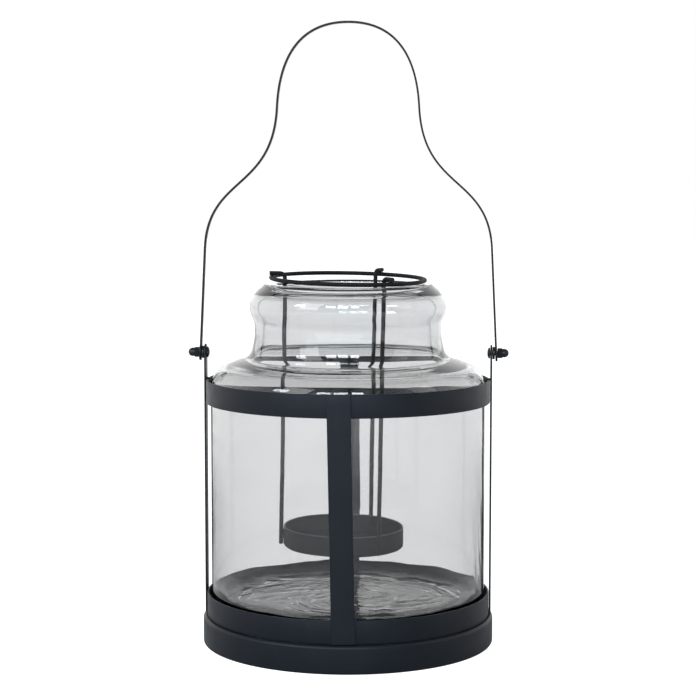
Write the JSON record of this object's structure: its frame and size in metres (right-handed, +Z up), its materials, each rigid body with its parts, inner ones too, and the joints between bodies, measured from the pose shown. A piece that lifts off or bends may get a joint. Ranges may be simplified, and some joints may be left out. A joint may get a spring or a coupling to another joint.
{
  "type": "candle lantern",
  "caption": "Round glass jar in a black strap-metal frame, with a swinging bail handle and a wire hanger that holds a candle cup inside the jar.",
  "frame": {"origin": "centre of the base's underside, on the surface the lantern stands on", "axes": "+Z up, -Y towards the front strap, X along the handle's pivot line"},
  "size_m": [0.231, 0.21, 0.4457],
  "materials": {
    "frame_paint": "satin black powder coat on strip and sheet steel",
    "hanger_paint": "matt black paint on wire and a pressed steel cup",
    "pivot_hardware": "black painted screws, washers and cap nuts",
    "jar_glass": "clear blown glass with a faint green-grey tint and soft ripples"
  },
  "bodies": {
    "frame": {"base_pan": "frame_paint", "bottom_hoop": "frame_paint", "top_hoop": "frame_paint", "front_strap": "frame_paint", "back_strap": "frame_paint", "left_side_strap": "frame_paint", "right_side_strap": "frame_paint", "left_pivot_screw": "pivot_hardware", "right_pivot_screw": "pivot_hardware", "left_pivot_washer": "pivot_hardware", "right_pivot_washer": "pivot_hardware", "left_cap_nut": "pivot_hardware", "right_cap_nut": "pivot_hardware"},
    "handle": {"bail_handle": "frame_paint"},
    "jar": {"glass_jar": "jar_glass"},
    "hanger": {"hanger_ring": "hanger_paint", "hanger_wire_1": "hanger_paint", "hanger_wire_2": "hanger_paint", "hanger_wire_3": "hanger_paint", "candle_cup": "hanger_paint"}
  },
  "joints": [
    {"name": "handle_swing", "type": "hinge", "parent": "frame", "child": "handle", "pos_m": [0, 0, 0.2095], "axis": [1, 0, 0], "range_deg": [-143, 143]},
    {"name": "glass_lift", "type": "slide", "parent": "frame", "child": "jar", "axis": [0, 0, 1], "range_m": [0, 0.08]},
    {"name": "hanger_lift", "type": "slide", "parent": "jar", "child": "hanger", "axis": [0, 0, 1], "range_m": [0, 0.08]}
  ]
}
